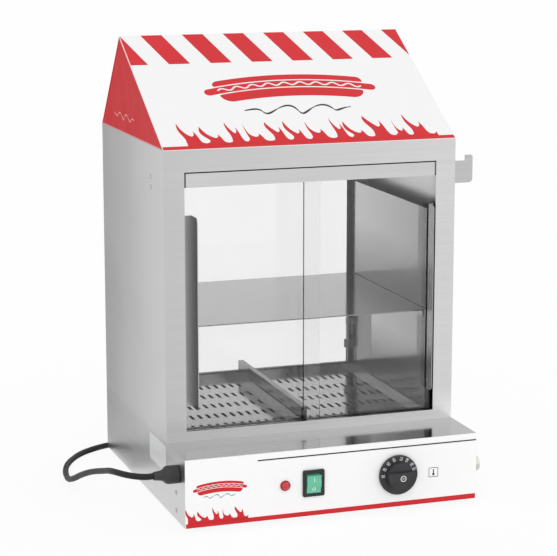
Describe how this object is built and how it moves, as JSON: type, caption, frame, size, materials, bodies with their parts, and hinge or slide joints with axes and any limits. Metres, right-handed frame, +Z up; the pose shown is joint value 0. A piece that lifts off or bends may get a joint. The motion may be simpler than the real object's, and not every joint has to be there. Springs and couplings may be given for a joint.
{
  "type": "hot dog steamer",
  "caption": "Table-top steamer: low base with tank and controls, glazed steel cabinet with sliding doors, shelf and perforated trays, and a gabled printed roof sign.",
  "frame": {"origin": "middle of the footprint on the floor, under the rubber feet, without the cord", "axes": "+X to the right as one faces the doors, +Y from the doors to the back, +Z up"},
  "size_m": [0.5035, 0.5034, 0.56],
  "materials": {
    "steel": "brushed stainless steel",
    "dark_steel": "polished steel that reflects the dark inside",
    "heater_steel": "heat-tinted steel",
    "zinc": "zinc-plated or bare steel",
    "nickel_brass": "nickel-plated brass",
    "white_print": "white print on steel",
    "red_paint": "red painted steel",
    "black_plastic": "black moulded plastic",
    "black_rubber": "black rubber",
    "green_lens": "green translucent rocker",
    "red_lens": "red lens",
    "red_plastic": "red moulded lever",
    "cream_plastic": "cream moulded block",
    "label": "blank foil label",
    "clear_glass": "clear toughened glass"
  },
  "bodies": {
    "cabinet": {"base_housing": "steel", "bottom_plate": "steel", "side_panel_left": "steel", "side_panel_right": "steel", "front_frame": "steel", "rear_frame": "steel", "ceiling_panel": "steel", "liner_brackets": "steel", "door_track_top": "steel", "shelf_brackets": "steel", "rear_rail": "steel", "roof_brackets": "steel", "tong_hook": "steel", "water_tank": "steel", "drain_pipe": "steel", "sensor_clip": "steel", "rear_glass_clips": "steel", "inner_liner_left": "dark_steel", "inner_liner_right": "dark_steel", "door_track_bottom": "dark_steel", "heating_element": "heater_steel", "foot_screws": "zinc", "panel_rivets": "zinc", "rear_screws": "zinc", "sensor_bulb": "zinc", "heater_nuts": "nickel_brass", "drain_tap_body": "nickel_brass", "control_panel": "white_print", "roof_front_panel": "white_print", "roof_rear_panel": "red_paint", "roof_gable_left": "red_paint", "roof_gable_right": "red_paint", "rocker_housing": "black_plastic", "thermostat": "black_plastic", "safety_cutout": "black_plastic", "cable_gland": "black_plastic", "gland_locknut": "black_plastic", "mains_plug": "black_plastic", "rubber_feet": "black_rubber", "mains_cord": "black_rubber", "cord_coil": "black_rubber", "inner_wiring": "black_rubber", "indicator_lamp": "red_lens", "terminal_block": "cream_plastic", "type_label": "label", "rear_glass": "clear_glass"},
    "left_door": {"door_glass_left": "clear_glass", "door_pull_left": "dark_steel"},
    "right_door": {"door_glass_right": "clear_glass", "door_pull_right": "steel"},
    "knob": {"temperature_knob": "black_plastic", "thermostat_spindle": "zinc"},
    "rocker": {"rocker_button": "green_lens"},
    "tap_lever": {"drain_tap_lever": "red_plastic"},
    "tray_left": {"sausage_tray_left": "steel"},
    "tray_right": {"sausage_tray_right": "steel"},
    "divider": {"tray_divider": "steel"},
    "shelf": {"bun_shelf": "steel"}
  },
  "joints": [
    {"name": "left_door_slide", "type": "slide", "parent": "cabinet", "child": "left_door", "axis": [1, 0, 0], "range_m": [0, 0.135]},
    {"name": "right_door_slide", "type": "slide", "parent": "cabinet", "child": "right_door", "axis": [1, 0, 0], "range_m": [-0.135, 0]},
    {"name": "knob_turn", "type": "hinge", "parent": "cabinet", "child": "knob", "pos_m": [0.0591, -0.17865, 0.047], "axis": [0, 1, 0], "range_deg": [0, 270]},
    {"name": "rocker_tip", "type": "hinge", "parent": "cabinet", "child": "rocker", "pos_m": [-0.0489, -0.17245, 0.047], "axis": [1, 0, 0], "range_deg": [-14, 0]},
    {"name": "tap_lever_turn", "type": "hinge", "parent": "cabinet", "child": "tap_lever", "pos_m": [0.1831, -0.10065, 0.039], "axis": [0, 0, 1], "range_deg": [-90, 0]},
    {"name": "tray_left_lift", "type": "slide", "parent": "cabinet", "child": "tray_left", "axis": [0, 0, 1], "range_m": [0, 0.08]},
    {"name": "tray_right_lift", "type": "slide", "parent": "cabinet", "child": "tray_right", "axis": [0, 0, 1], "range_m": [0, 0.08]},
    {"name": "divider_lift", "type": "slide", "parent": "cabinet", "child": "divider", "axis": [0, 0, 1], "range_m": [0, 0.08]},
    {"name": "shelf_lift", "type": "slide", "parent": "cabinet", "child": "shelf", "axis": [0, 0, 1], "range_m": [0, 0.08]}
  ]
}
